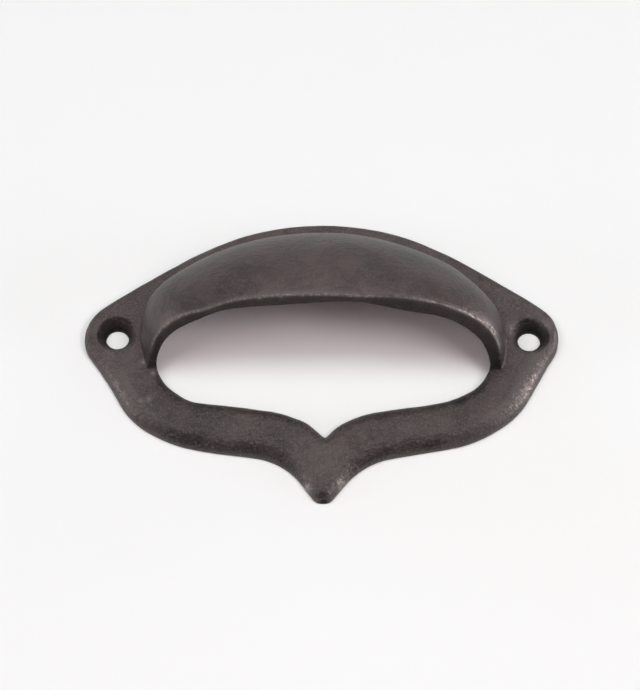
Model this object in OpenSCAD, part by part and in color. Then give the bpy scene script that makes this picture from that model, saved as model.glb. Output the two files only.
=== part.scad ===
// Drawer pull: a cup handle cast in one piece with its open back plate.
// Lies on its back: z = 0 is the drawer front, +X runs along the pull,
// +Y is up the drawer and +Z stands out from it. The origin is midway
// between the two screw holes, on the back.
// All sizes are in millimetres.

/* [Screw holes] */
// Distance between the centres of the two screw holes
hole_spacing = 88.9; // [86:0.1:91]
// Diameter of each screw hole
hole_d = 4.9; // [4:0.1:5.5]
// Diameter of the countersink where it meets the front of the plate
sink_d = 8.6; // [7:0.1:8.8]
// Included angle of the countersink
sink_angle = 82; // [80:1:100]

/* [Plate] */
// Thickness of the plate
plate_t = 3.2; // [2.8:0.1:5]
// Distance from the back of the hood to the top edge of the plate
top_margin = 4.8; // [4:0.1:9]
// Radius of the arched top edge
crown_r = 54.2; // [48:0.2:60]
// Fall of the straight shoulders on each side of the arch, in degrees
shoulder_angle = 34.4; // [32:0.1:37]
// Distance from the centre of a screw hole to the outer end of its ear
ear_out = 7; // [6.2:0.05:8.4]
// Radius of the rounded end of each ear
ear_r = 8.2; // [6.6:0.1:8.6]
// Depth of the lower outside corner below the opening's corner, before rounding
arm_w = 10; // [8:0.1:11.4]
// Distance of that corner out beyond the opening's corner
arm_out = 1.6; // [0.8:0.1:3]
// Radius that rounds the lower outside corner
knee_r = 21.6; // [14:0.1:22.4]
// Distance of the corner where the point begins out beyond the notch's corner
throat_out = 1.9; // [1.2:0.1:2.8]
// Depth of that inside corner below the notch's corner
throat_drop = 11.2; // [9.6:0.1:12]
// Radius of the inside corner
throat_r = 14.8; // [8:0.1:15.6]
// Distance from the bottom of the notch down to the tip of the point
tip_len = 15.2; // [13.4:0.1:18]
// Radius of the tip
tip_r = 2.6; // [1.8:0.1:2.8]
// Width of the rounded outer edge of the arms and the point
arm_edge_w = 3.4; // [1.6:0.1:4]
// Width of the rounded edge of the arms along the opening
in_edge_w = 3.4; // [1:0.1:3.6]
// Height of the rounded edges of the arms and the point
arm_edge_t = 2.4; // [1:0.1:2.6]
// Radius of the rounded front edge round the ears and the top
top_edge_r = 1.3; // [0.6:0.1:1.6]
// Rise of the middle of the arms above their edges
arm_crown = 0.1; // [0:0.05:0.4]

/* [Opening] */
// Depth of the lower corners of the opening below the holes, before rounding
opening_y = 14; // [13.2:0.1:16]
// Radius of the lower corners of the opening
opening_r = 12.7; // [10:0.1:13.4]
// Distance out from the middle to the corner where the notch begins
notch_x = 6.1; // [5.6:0.1:7]
// Depth of that corner below the line of the holes
notch_y = 18.5; // [17.8:0.1:20.4]
// Radius of the corners on each side of the notch
notch_r = 17.6; // [10:0.1:18.4]
// Depth of the bottom of the notch below the line of the holes
notch_bottom = 23.9; // [22.6:0.1:26]

/* [Hood] */
// Distance of the mouth of the hood from the drawer front
hood_h = 25.4; // [18.4:0.5:30.4]
// Wall of the hood
wall = 2.4; // [1.8:0.1:2.7]
// Lean of the mouth back from upright, in degrees
lean = 13; // [0:1:20]
// Gap between each countersink and the side of the hood
hood_gap = 1.05; // [0.9:0.05:4]
// Depth of the two feet of the hood below the line of the holes
foot_y = 8.3; // [7.2:0.1:9.2]
// Height of the back of the hood above the line of the holes
hood_back = 23.7; // [21:0.1:26.5]
// Squareness of the hood's outline on the plate, 2 is an ellipse
base_n = 2; // [1.95:0.05:2.1]
// Squareness of the arch of the mouth on the outside
mouth_n = 2.4; // [2.1:0.05:2.6]
// Squareness of the arch of the mouth on the inside
mouth_in_n = 2.35; // [2:0.05:2.45]
// Fullness of the hood from plate to mouth, 2 is a quarter of an ellipse
full_n = 1.75; // [1.6:0.05:2.1]
// Radius of the cast fillet where the hood meets the plate
fillet_r = 0.8; // [0.4:0.1:0.9]
// Width of the worn edge break round the mouth
rim_break = 0.5; // [0.2:0.1:0.6]

/* [Hidden] */
cut = 1;

// Steps of each curve from the top of the pull round to its tip
n_crown = 14;
n_flank = 5;
n_ear = 9;
n_foot = 3;
n_leg = 3;
n_knee = 7;
n_arm = 3;
n_throat = 6;
n_tip_side = 2;
n_tip = 4;
// Steps of the sections
n_round = 4;
n_out = 12;
n_in = 9;

// Middle of the superellipse that the hood's outline follows
base_mid_y = -1.7;
// Radius at the bottom of the notch
notch_sharp = 0.5;

function unit(v) = v / norm(v);
function left_of(v) = [-v[1], v[0]];
function turn(v, a) = [v[0] * cos(a) - v[1] * sin(a), v[0] * sin(a) + v[1] * cos(a)];
function half_angle(a, p, b) = acos(unit(a - p) * unit(b - p)) / 2;
function last(v) = v[len(v) - 1];
function flat(p, z) = [p[0], p[1], z];
function smooth(f) = f <= 0 ? 0 : f >= 1 ? 1 : f * f * (3 - 2 * f);

// Rounded corner p between the neighbours a and b: centre, start, sweep
function corner(a, p, b, r) =
    let (h = half_angle(a, p, b),
         c = p + unit(unit(a - p) + unit(b - p)) * r / sin(h),
         s = p + unit(a - p) * r / tan(h),
         way = cross(p - a, b - p) > 0 ? 1 : -1)
    [c, s, way * (180 - 2 * h)];
// Stations on a rounded corner, each a point and the direction to its left;
// a pack above 1 draws them together at the start
function on_corner(k, f0, f1, n, pack = 1) = [
    for (i = [0:n])
    let (v = turn(k[1] - k[0], k[2] * (f0 + (f1 - f0) * pow(i / n, pack))))
    [k[0] + v, -sign(k[2]) * unit(v)]
];
// Stations strictly between two points of a straight edge
function on_line(a, b, n) = [
    for (i = [1:1:n - 1]) [a + (b - a) * i / n, left_of(unit(b - a))]
];

// Outline of the hood on the plate: a superellipse round base_mid_y that the
// two feet cut off below. Its sides keep clear of the countersinks.
base_w = (hole_spacing - sink_d) / 2 - hood_gap;
base_d = hood_back - base_mid_y;
base_in_d = base_d - wall;
function spread(d) = pow(1 - pow((foot_y + base_mid_y) / d, base_n), 1 / base_n);
foot_x = base_w * spread(base_d);
foot_in_x = foot_x - wall;
base_in_w = foot_in_x / spread(base_in_d);

// Edge of the opening below the hood. Its lower corner is placed so that the
// rounding runs through the inner edge of the foot.
notch_corner = [notch_x, -notch_y];
notch_end = [0, -notch_bottom - notch_sharp * 0.3];
function side_corner(x) =
    corner([x, hood_back], [x, -opening_y], notch_corner, opening_r);
function side_miss(k) =
    k[0][0] + sqrt(pow(opening_r, 2) - pow(k[0][1] + foot_y, 2)) - foot_in_x;
function side_x(x, steps) =
    steps == 0 ? x : side_x(x - side_miss(side_corner(x)), steps - 1);
opening_x = side_x(foot_in_x, 8);
opening_corner = [opening_x, -opening_y];
side_k = side_corner(opening_x);
notch_k = corner(opening_corner, notch_corner, notch_end, notch_r);
end_k = corner(notch_corner, notch_end, [-notch_x, -notch_y], notch_sharp);
foot_f = asin((side_k[0][1] + foot_y) / opening_r) / abs(side_k[2]);
side_s = on_corner(side_k, foot_f, 1, n_leg + n_knee, 1.4);
notch_s = on_corner(notch_k, 0, 1, n_throat);
end_s = on_corner(end_k, 0, 0.5, n_tip);
opening = concat(side_s, on_line(last(side_s)[0], notch_s[0][0], n_arm), notch_s,
    on_line(last(notch_s)[0], end_s[0][0], n_tip_side), end_s);

// Corners of the outer edge before they are rounded
crown_y = hood_back + top_margin;
tip_y = notch_bottom + tip_len;
crown_corner = [0, crown_y + crown_r * (1 / cos(shoulder_angle) - 1)];
knee_corner = [opening_x + arm_out, -opening_y - arm_w];
throat_corner = [notch_x + throat_out, -notch_y - throat_drop];
throat_mirror = [-throat_corner[0], throat_corner[1]];

// The ear's corner lies on the shoulder line; it slides along that line
// until the rounded end stands ear_out beyond the screw hole.
ear_reach = hole_spacing / 2 + ear_out;
function shoulder_at(x) = [x, crown_corner[1] - x * tan(shoulder_angle)];
function ear_end(p) =
    let (h = half_angle(crown_corner, p, knee_corner),
         m = unit(unit(crown_corner - p) + unit(knee_corner - p)))
    p[0] + m[0] * ear_r / sin(h) + ear_r;
function ear_point(x, steps) =
    steps == 0 ? shoulder_at(x)
    : ear_point(x + ear_reach - ear_end(shoulder_at(x)), steps - 1);
ear_corner = ear_point(ear_reach, 8);

// The tip's corner lies on the middle line, below its rounded end.
function tip_point(y, steps) =
    steps == 0 ? y
    : let (h = half_angle(throat_corner, [0, y], throat_mirror))
      tip_point(-tip_y - tip_r * (1 / sin(h) - 1), steps - 1);
tip_corner = [0, tip_point(-tip_y, 8)];

// Stations beside and below the feet, drawn together just below them
function on_flank(a, b) =
    let (d = left_of(unit(b - a)))
    concat([for (i = [1:n_foot]) [a + (b - a) * 0.5 * i / n_foot, d]],
        [for (i = [1:1:n_leg - 1]) [a + (b - a) * (0.5 + 0.5 * pow(i / n_leg, 1.4)), d]]);

// Outer edge of the plate from the middle of the top to the tip
crown_k = corner([-ear_corner[0], ear_corner[1]], crown_corner, ear_corner, crown_r);
ear_k = corner(crown_corner, ear_corner, knee_corner, ear_r);
knee_k = corner(ear_corner, knee_corner, throat_corner, knee_r);
throat_k = corner(knee_corner, throat_corner, tip_corner, throat_r);
tip_k = corner(throat_corner, tip_corner, throat_mirror, tip_r);
crown_s = on_corner(crown_k, 0.5, 1, n_crown);
ear_s = on_corner(ear_k, 0, 1, n_ear);
knee_s = on_corner(knee_k, 0, 1, n_knee);
throat_s = on_corner(throat_k, 0, 1, n_throat);
tip_s = on_corner(tip_k, 0, 0.5, n_tip);
outer = concat(crown_s, on_line(last(crown_s)[0], ear_s[0][0], n_flank), ear_s,
    on_flank(last(ear_s)[0], knee_s[0][0]), knee_s,
    on_line(last(knee_s)[0], throat_s[0][0], n_arm), throat_s,
    on_line(last(throat_s)[0], tip_s[0][0], n_tip_side), tip_s);

// Number of stations that carry the hood, and of all stations
hood_count = n_crown + n_flank + n_ear + n_foot + 1;
count = len(outer);

// Points on the superellipses of the hood
function power(v, e) = sign(v) * pow(abs(v), e);
function super(a, w, d, n) = [w * power(cos(a), 2 / n), d * power(sin(a), 2 / n)];
function base_angle(d) = -asin(pow((foot_y + base_mid_y) / d, base_n / 2));
function base_point(f, w, d) =
    [0, base_mid_y] + super(90 - (90 - base_angle(d)) * f, w, d, base_n);
function base_normal(p, w, d) =
    unit([power(p[0] / w, base_n - 1) / w, power((p[1] - base_mid_y) / d, base_n - 1) / d]);

// Arch of the mouth, in a plane that leans back from the feet
mouth_rise = hood_h - plate_t;
mouth_start = 0.9;
function mouth_point(f, w, h, n) =
    let (q = super(90 - (90 - mouth_start) * f, w, h, n))
    [q[0], -foot_y + tan(lean) * q[1], plate_t + q[1]];

// One line of the hood's surface from its base b up to its mouth m
function rib(b, m, z0, a) =
    let (c = pow(cos(a), 2 / full_n), s = pow(sin(a), 2 / full_n))
    [m[0] + (b[0] - m[0]) * c, m[1] + (b[1] - m[1]) * c, z0 + (m[2] - z0) * s];
function rib_angle(rise, h) = asin(pow(rise / h, full_n / 2));
// Angle at which a line is a distance e short of the mouth
function end_angle(b, m, e) =
    acos(pow(min(0.4, e / max(0.01, norm([b[0] - m[0], b[1] - m[1]]))), full_n / 2));

// Rounded front edge, w wide and t high, from the side up on to the front face
function rounded(s, w, t, way) = [
    for (i = [0:n_round])
    let (a = 90 * i / n_round)
    flat(s[0] + way * s[1] * w * (1 - cos(a)), plate_t - t * (1 - sin(a)))
];
// The rounding grows from the ears to the arms; at the tip it stays within
// the tip's own radius
function arm_share(i) = smooth((i - hood_count + 12) / 15);
function tip_share(i) = smooth((i - count + n_tip + 6) / 6);
function edge_w(i) =
    let (w = top_edge_r + (arm_edge_w - top_edge_r) * arm_share(i))
    w + (min(w, tip_r * 0.85) - w) * tip_share(i);
function edge_t(i) = top_edge_r + (arm_edge_t - top_edge_r) * arm_share(i);

// Section at a station that carries the hood
function hood_section(i) =
    let (f = i / (hood_count - 1), o = outer[i],
         b = base_point(f, base_w, base_d),
         nb = f == 0 ? [0, 1] : base_normal(b, base_w, base_d),
         bi = base_point(f, base_in_w, base_in_d),
         m = mouth_point(f, foot_x, mouth_rise, mouth_n),
         mi = mouth_point(f, foot_in_x, mouth_rise - wall * 0.92, mouth_in_n),
         h = m[2] - plate_t, hi = mi[2] - plate_t,
         r = min(fillet_r, h * 0.4), e = min(rim_break, h * 0.25),
         a0 = rib_angle(r, h), a1 = end_angle(b, m, e), a2 = end_angle(bi, mi, e))
    concat([flat(o[0], 0)], rounded(o, edge_w(i), edge_t(i), -1),
        [flat(b + nb * r, plate_t), flat(b + nb * r * 0.3, plate_t + r * 0.3)],
        [for (k = [0:n_out]) rib(b, m, plate_t, a0 + (a1 - a0) * k / n_out)],
        [m + unit(mi - m) * e, (m + mi) / 2, mi + unit(m - mi) * e],
        [for (k = [0:n_in]) rib(bi, mi, plate_t, a2 * (1 - k / n_in))],
        [flat(bi, 0)]);

// Section at a station below the feet, with both edges rounded
n_top = n_out + n_in + 7 - n_round - 1;
function near_foot(k, len_in) =
    let (w = wall, r = fillet_r)
    (k == 0 ? w + r : k == 1 ? w + r * 0.5
    : k < n_out + 3 ? w + 0.2 - 0.6 * (k - 2) / n_out
    : k == n_out + 3 ? w * 0.7 : k == n_out + 4 ? w * 0.5 : k == n_out + 5 ? w * 0.33
    : w * 0.3 - w * 0.12 * (k - n_out - 5) / (n_top - n_out - 5)) / len_in;
function arm_section(i) =
    let (j = i - hood_count, o = outer[i], s = opening[j + 1],
         f = smooth((j + 1) / (n_leg + n_knee)),
         g = smooth((j + 1) / (n_leg + 3)),
         wi = 0.3 + (in_edge_w - 0.3) * g, ti = 0.3 + (arm_edge_t - 0.3) * g,
         po = o[0] - o[1] * edge_w(i), pi = s[0] + s[1] * wi)
    concat([flat(o[0], 0)], rounded(o, edge_w(i), edge_t(i), -1),
        [for (k = [0:n_top - 1])
            let (q = 1 - (k + 1) / (n_top + 1), near = near_foot(k, norm(po - pi)),
                 t = near + (q - near) * f)
            flat(pi + (po - pi) * t, plate_t + arm_crown * f * pow(4 * t * (1 - t), 2))],
        [for (k = [n_round:-1:0]) rounded(s, wi, ti, 1)[k]],
        [flat(s[0], 0)]);

half = [for (i = [0:count - 1]) i < hood_count ? hood_section(i) : arm_section(i)];
ring_m = len(half[0]);
ring = concat(half, [
    for (i = [count - 2:-1:1]) [for (p = half[i]) [-p[0], p[1], p[2]]]
]);
ring_n = len(ring);
function id(i, j) = (i % ring_n) * ring_m + (j % ring_m);
// Two triangles a cell, with the diagonals mirrored about the middle
ring_faces = [
    for (i = [0:ring_n - 1], j = [0:ring_m - 1], k = [0:1])
    i < count - 1
    ? (k == 0 ? [id(i, j), id(i + 1, j + 1), id(i, j + 1)]
              : [id(i, j), id(i + 1, j), id(i + 1, j + 1)])
    : (k == 0 ? [id(i, j), id(i + 1, j), id(i, j + 1)]
              : [id(i + 1, j), id(i + 1, j + 1), id(i, j + 1)])
];

module casting_body() {
    polyhedron(points = [for (s = ring, p = s) p], faces = ring_faces, convexity = 8);
}

// Countersunk hole, open past both faces of the plate
module screw_hole() {
    sink_depth = (sink_d - hole_d) / 2 / tan(sink_angle / 2);
    translate([0, 0, -cut])
        cylinder(h = plate_t + 2 * cut, d = hole_d, $fn = 96);
    translate([0, 0, plate_t - sink_depth])
        cylinder(h = sink_depth, d1 = hole_d, d2 = sink_d, $fn = 96);
    translate([0, 0, plate_t])
        cylinder(h = cut, d = sink_d, $fn = 96);
}

// The whole pull: plate, arms, point and hood in one casting
module pull() {
    color([0.2, 0.19, 0.18])
    difference() {
        casting_body();
        for (side = [-1, 1])
            translate([side * hole_spacing / 2, 0, 0])
                screw_hole();
    }
}

pull();
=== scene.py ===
import logging
import math
from dataclasses import dataclass, field
from enum import Enum

import bmesh
import bpy
import numpy as np
from mathutils import Matrix, Vector
from mathutils.kdtree import KDTree

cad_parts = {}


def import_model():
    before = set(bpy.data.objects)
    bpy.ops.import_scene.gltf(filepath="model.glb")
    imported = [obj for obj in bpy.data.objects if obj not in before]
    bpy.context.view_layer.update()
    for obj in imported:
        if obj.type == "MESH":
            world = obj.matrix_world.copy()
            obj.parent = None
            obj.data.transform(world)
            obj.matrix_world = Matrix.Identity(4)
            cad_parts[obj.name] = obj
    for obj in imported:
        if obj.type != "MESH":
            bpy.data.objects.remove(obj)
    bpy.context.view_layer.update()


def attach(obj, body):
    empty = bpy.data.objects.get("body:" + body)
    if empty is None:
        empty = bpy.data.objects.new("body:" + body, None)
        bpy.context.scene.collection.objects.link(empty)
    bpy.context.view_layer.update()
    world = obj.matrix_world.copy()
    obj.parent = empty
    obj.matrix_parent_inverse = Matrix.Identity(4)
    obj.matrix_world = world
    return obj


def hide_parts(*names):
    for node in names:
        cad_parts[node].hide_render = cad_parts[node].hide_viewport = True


log = logging.getLogger("drawer pull")

MM = 0.001
NODE = "pull"
BODY = "root"


def linear(code: str) -> tuple[float, float, float, float]:
    """Turn an sRGB hex colour into linear RGBA.

    Args:
        code: Six hex digits, as in "5a4f4c".

    Returns:
        Red, green, blue and an alpha of 1, all linear.
    """
    parts = [int(code[i : i + 2], 16) / 255 for i in (0, 2, 4)]
    red, green, blue = (
        p / 12.92 if p <= 0.04045 else ((p + 0.055) / 1.055) ** 2.4 for p in parts
    )
    return (red, green, blue, 1.0)


def unit(v: np.ndarray) -> np.ndarray:
    """Return v at length 1, along its last axis."""
    return v / np.linalg.norm(v, axis=-1, keepdims=True)


def left_of(v: np.ndarray) -> np.ndarray:
    """Return plane vectors turned a quarter turn to the left."""
    return np.stack([-v[..., 1], v[..., 0]], axis=-1)


def smooth(f: np.ndarray) -> np.ndarray:
    """Ease from 0 to 1 with level ends."""
    g = np.clip(f, 0.0, 1.0)
    return g * g * (3 - 2 * g)


def ramp(value: np.ndarray, low: float, high: float) -> np.ndarray:
    """Ease from 0 at low to 1 at high."""
    return smooth((value - low) / (high - low))


def bell(distance: np.ndarray, radius: float) -> np.ndarray:
    """Return a soft bump that is 1 in the middle and 0 beyond radius."""
    return smooth(1 - distance / radius)


# Shape


@dataclass(frozen=True)
class Sizes:
    """Sizes of the pull in millimetres, the same as the construction's."""

    hole_spacing: float = 88.9
    hole_d: float = 4.9
    sink_d: float = 8.6
    sink_angle: float = 82.0
    plate_t: float = 3.2
    top_margin: float = 4.8
    crown_r: float = 54.2
    shoulder_angle: float = 34.4
    ear_out: float = 7.0
    ear_r: float = 8.2
    arm_w: float = 10.0
    arm_out: float = 1.6
    knee_r: float = 21.6
    throat_out: float = 1.9
    throat_drop: float = 11.2
    throat_r: float = 14.8
    tip_len: float = 15.2
    tip_r: float = 2.6
    arm_edge_w: float = 3.4
    in_edge_w: float = 3.4
    arm_edge_t: float = 2.4
    top_edge_r: float = 1.3
    arm_crown: float = 0.1
    opening_y: float = 14.0
    opening_r: float = 12.7
    notch_x: float = 6.1
    notch_y: float = 18.5
    notch_r: float = 17.6
    notch_bottom: float = 23.9
    notch_sharp: float = 0.5
    hood_h: float = 25.4
    wall: float = 2.4
    lean: float = 13.0
    hood_gap: float = 1.05
    foot_y: float = 8.3
    hood_back: float = 23.7
    base_mid_y: float = -1.7
    base_n: float = 2.0
    mouth_n: float = 2.4
    mouth_in_n: float = 2.35
    full_n: float = 1.75
    fillet_r: float = 0.8


@dataclass(frozen=True)
class Corner:
    """A rounded corner of an edge, seen from above."""

    centre: np.ndarray
    start: np.ndarray
    sweep: float

    @classmethod
    def rounding(
        cls, before: np.ndarray, point: np.ndarray, after: np.ndarray, radius: float
    ) -> "Corner":
        """Round the corner `point` between its two neighbours.

        Args:
            before: Corner that comes before it.
            point: The sharp corner.
            after: Corner that comes after it.
            radius: Radius of the rounding.

        Returns:
            The rounding's centre, first point and signed turn.
        """
        a, b = unit(before - point), unit(after - point)
        half = math.acos(float(np.dot(a, b))) / 2
        centre = point + unit(a + b) * radius / math.sin(half)
        start = point + a * radius / math.tan(half)
        u, v = point - before, after - point
        way = 1.0 if u[0] * v[1] - u[1] * v[0] > 0 else -1.0
        return cls(centre, start, way * (math.pi - 2 * half))

    def at(self, f: np.ndarray) -> tuple[np.ndarray, np.ndarray]:
        """Follow the rounding.

        Args:
            f: Fractions of the turn, 0 at its start.

        Returns:
            The points, and the directions to the left of them.
        """
        angle = self.sweep * np.asarray(f)
        c, s = np.cos(angle), np.sin(angle)
        v = self.start - self.centre
        turned = np.stack([v[0] * c - v[1] * s, v[0] * s + v[1] * c], axis=-1)
        return self.centre + turned, -math.copysign(1.0, self.sweep) * unit(turned)

    def end(self) -> np.ndarray:
        """Return the last point of the rounding."""
        return self.at(np.array([1.0]))[0][0]


@dataclass(frozen=True)
class Stretch:
    """A run of an edge: a part of a corner, or a straight line."""

    steps: float
    corner: Corner | None = None
    first: float = 0.0
    last: float = 1.0
    pack: float = 1.0
    line: tuple[np.ndarray, np.ndarray] | None = None

    def at(self, f: np.ndarray) -> tuple[np.ndarray, np.ndarray]:
        """Follow the run.

        Args:
            f: Fractions of the run, 0 at its start.

        Returns:
            The points, and the directions to the left of them.
        """
        g = self.first + (self.last - self.first) * np.power(f, self.pack)
        if self.corner is not None:
            return self.corner.at(g)
        a, b = self.line
        points = a + (b - a) * g[:, None]
        return points, np.repeat(left_of(unit(b - a))[None, :], len(f), axis=0)


class Edge:
    """An edge of the plate, as a chain of stretches."""

    def __init__(self, stretches: list[Stretch]) -> None:
        """Chain the stretches in the order given."""
        self.stretches = stretches
        self.marks = np.cumsum([0.0] + [s.steps for s in stretches])

    def at(self, t: np.ndarray) -> tuple[np.ndarray, np.ndarray]:
        """Follow the chain.

        Args:
            t: Places, counted in steps from the start of the chain.

        Returns:
            The points, and the directions to the left of them, one row a place.
        """
        points, sides = np.zeros((len(t), 2)), np.zeros((len(t), 2))
        last = len(self.stretches) - 1
        for i, stretch in enumerate(self.stretches):
            low, high = self.marks[i], self.marks[i + 1]
            here = (t >= low) & ((t < high) | (i == last))
            if here.any():
                f = np.clip((t[here] - low) / (high - low), 0.0, 1.0)
                points[here], sides[here] = stretch.at(f)
        return points, sides


class PlateEdges:
    """Outer edge of the plate and edge of its opening, for one half."""

    HOOD_STEPS = 31.0
    ARM_STEPS = 25.0
    FITTINGS = 10

    def __init__(self, size: Sizes) -> None:
        """Place the hood's feet, then chain the edges.

        Args:
            size: Sizes of the pull.
        """
        z = size
        self.size = size
        self.base_w = (z.hole_spacing - z.sink_d) / 2 - z.hood_gap
        self.base_d = z.hood_back - z.base_mid_y
        self.base_in_d = self.base_d - z.wall
        self.foot_x = self.base_w * self.spread(self.base_d)
        self.foot_in_x = self.foot_x - z.wall
        self.base_in_w = self.foot_in_x / self.spread(self.base_in_d)
        self.notch = np.array([z.notch_x, -z.notch_y])
        self.opening_x = self.fit_opening()
        self.inner = self.lay_opening()
        self.outer_hood, self.outer_arm = self.lay_outside()

    def spread(self, depth: float) -> float:
        """Tell how far the hood's outline has closed in at the feet.

        Args:
            depth: Depth of the outline, from its widest place to its back.

        Returns:
            The width at the feet, as a share of the greatest width.
        """
        z = self.size
        share = ((z.foot_y + z.base_mid_y) / depth) ** z.base_n
        return (1 - share) ** (1 / z.base_n)

    def side_corner(self, x: float) -> Corner:
        """Round the opening's lower corner, below a foot.

        Args:
            x: Where the opening's side stands.

        Returns:
            The rounded corner.
        """
        z = self.size
        above = np.array([x, z.hood_back])
        return Corner.rounding(above, np.array([x, -z.opening_y]), self.notch, z.opening_r)

    def fit_opening(self) -> float:
        """Return the place of the opening's side at which its curve meets the foot."""
        z = self.size
        opening_x = self.foot_in_x
        for _ in range(self.FITTINGS):
            side = self.side_corner(opening_x)
            reach = math.sqrt(z.opening_r**2 - (side.centre[1] + z.foot_y) ** 2)
            opening_x -= side.centre[0] + reach - self.foot_in_x
        return opening_x

    def fit_ear(self, crown: np.ndarray, knee: np.ndarray) -> np.ndarray:
        """Place the ear's sharp corner so that the rounded ear has its full reach.

        Args:
            crown: Sharp corner of the crown.
            knee: Sharp corner of the knee.

        Returns:
            Sharp corner of the ear.
        """
        z = self.size
        slope = math.radians(z.shoulder_angle)
        reach = z.hole_spacing / 2 + z.ear_out
        ear_x = reach
        for _ in range(self.FITTINGS):
            ear = np.array([ear_x, crown[1] - ear_x * math.tan(slope)])
            turn = Corner.rounding(crown, ear, knee, z.ear_r)
            ear_x += reach - turn.centre[0] - z.ear_r
        return ear

    def fit_tip(self, throat: np.ndarray, throat_mirror: np.ndarray) -> np.ndarray:
        """Place the tip's sharp corner so that the rounded point has its full length.

        Args:
            throat: Sharp corner of the throat.
            throat_mirror: The same corner on the other half.

        Returns:
            Sharp corner of the tip.
        """
        z = self.size
        tip_y = z.notch_bottom + z.tip_len
        tip_at = -tip_y
        for _ in range(self.FITTINGS):
            tip = np.array([0.0, tip_at])
            a, b = unit(throat - tip), unit(throat_mirror - tip)
            half = math.acos(float(np.dot(a, b))) / 2
            tip_at = -tip_y - z.tip_r * (1 / math.sin(half) - 1)
        return tip

    def lay_opening(self) -> Edge:
        """Return the edge of the opening, from the foot down to the notch."""
        z = self.size
        corner = np.array([self.opening_x, -z.opening_y])
        mirror = np.array([-z.notch_x, -z.notch_y])
        notch_end = np.array([0.0, -z.notch_bottom - z.notch_sharp * 0.3])
        side = self.side_corner(self.opening_x)
        notch_k = Corner.rounding(corner, self.notch, notch_end, z.notch_r)
        end_k = Corner.rounding(self.notch, notch_end, mirror, z.notch_sharp)
        foot_f = math.asin((side.centre[1] + z.foot_y) / z.opening_r) / abs(side.sweep)
        return Edge(
            [
                Stretch(10, side, foot_f, 1.0, 1.4),
                Stretch(3, line=(side.end(), notch_k.start)),
                Stretch(6, notch_k),
                Stretch(2, line=(notch_k.end(), end_k.start)),
                Stretch(4, end_k, 0.0, 0.5),
            ]
        )

    def lay_outside(self) -> tuple[Edge, Edge]:
        """Return the outer edge beside the hood, and below it down to the tip."""
        z = self.size
        slope = math.radians(z.shoulder_angle)
        crown_y = z.hood_back + z.top_margin
        crown = np.array([0.0, crown_y + z.crown_r * (1 / math.cos(slope) - 1)])
        knee = np.array([self.opening_x + z.arm_out, -z.opening_y - z.arm_w])
        throat = np.array([z.notch_x + z.throat_out, -z.notch_y - z.throat_drop])
        throat_mirror = np.array([-throat[0], throat[1]])
        ear = self.fit_ear(crown, knee)
        ear_mirror = np.array([-ear[0], ear[1]])
        tip = self.fit_tip(throat, throat_mirror)
        crown_k = Corner.rounding(ear_mirror, crown, ear, z.crown_r)
        ear_k = Corner.rounding(crown, ear, knee, z.ear_r)
        knee_k = Corner.rounding(ear, knee, throat, z.knee_r)
        throat_k = Corner.rounding(knee, throat, tip, z.throat_r)
        tip_k = Corner.rounding(throat, tip, throat_mirror, z.tip_r)
        flank = (ear_k.end(), knee_k.start)
        beside_hood = [
            Stretch(14, crown_k, 0.5, 1.0),
            Stretch(5, line=(crown_k.end(), ear_k.start)),
            Stretch(9, ear_k),
            Stretch(3, line=flank, last=0.5),
        ]
        below_hood = [
            Stretch(3, line=flank, first=0.5, pack=1.4),
            Stretch(7, knee_k),
            Stretch(3, line=(knee_k.end(), throat_k.start)),
            Stretch(6, throat_k),
            Stretch(2, line=(throat_k.end(), tip_k.start)),
            Stretch(4, tip_k, 0.0, 0.5),
        ]
        return Edge(beside_hood), Edge(below_hood)


@dataclass(frozen=True)
class Steps:
    """How finely each part of a section is drawn."""

    foot_round: int = 4
    side: int = 3
    edge: int = 9
    strip: int = 8
    fillet: int = 6
    outside: int = 40
    lip: int = 6
    face: int = 4
    inside: int = 26
    bore_edge: int = 9
    back: int = 9

    def across(self) -> int:
        """Return how many points a section has between its two rounded edges."""
        middle = self.strip - 1 + self.fillet + 1 + self.outside - 1
        return middle + 2 * (self.lip + 1) + self.face - 1 + self.inside

    def whole(self) -> int:
        """Return how many points a section has all round."""
        sides = 2 * (self.foot_round + 1) + 2 * (self.side - 1)
        return sides + self.edge + 1 + self.across() + self.bore_edge + 1 + self.back - 1


class Part(Enum):
    """How much of the metal moves with a nudge."""

    WHOLE = "the whole thickness"
    HOOD_FACE = "only the outer face of the hood"
    HOOD_INSIDE = "only the inside of the hood and the inner edge of its rim"


class SineField:
    """A smooth random field, built of many sine waves."""

    def __init__(self, seed: int, wavelength: float, waves: int = 40) -> None:
        """Choose the waves.

        Args:
            seed: Number that picks the pattern.
            wavelength: Typical distance between two crests, in millimetres.
            waves: How many waves are added up.
        """
        rng = np.random.default_rng(seed)
        way = unit(rng.normal(size=(waves, 3)))
        rate = 2 * math.pi / (wavelength * rng.uniform(0.7, 1.5, size=(waves, 1)))
        self.k = way * rate
        self.phase = rng.uniform(0, 2 * math.pi, size=waves)

    def at(self, points: np.ndarray) -> np.ndarray:
        """Return the field at the points, within -1 and 1."""
        total = np.cos(points @ self.k.T + self.phase).sum(axis=1)
        return np.clip(total / math.sqrt(2.0 * len(self.phase)), -1.0, 1.0)


@dataclass(frozen=True)
class Mark:
    """A small mark, in millimetres: a pimple where it is proud, a pit where sunk."""

    place: tuple[float, float, float]
    radius: float
    height: float


@dataclass(frozen=True)
class RubAndHighlight:
    """A spot that handling has rubbed and that is lightened as painted highlight, in millimetres.
    """

    place: tuple[float, float, float]
    radius: float
    amount: float


@dataclass(frozen=True)
class Nudge:
    """A place where the casting came out a little beside its true shape, in millimetres."""

    place: tuple[float, float, float]
    reach: float
    move: tuple[float, float, float]
    part: Part = Part.WHOLE


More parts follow.
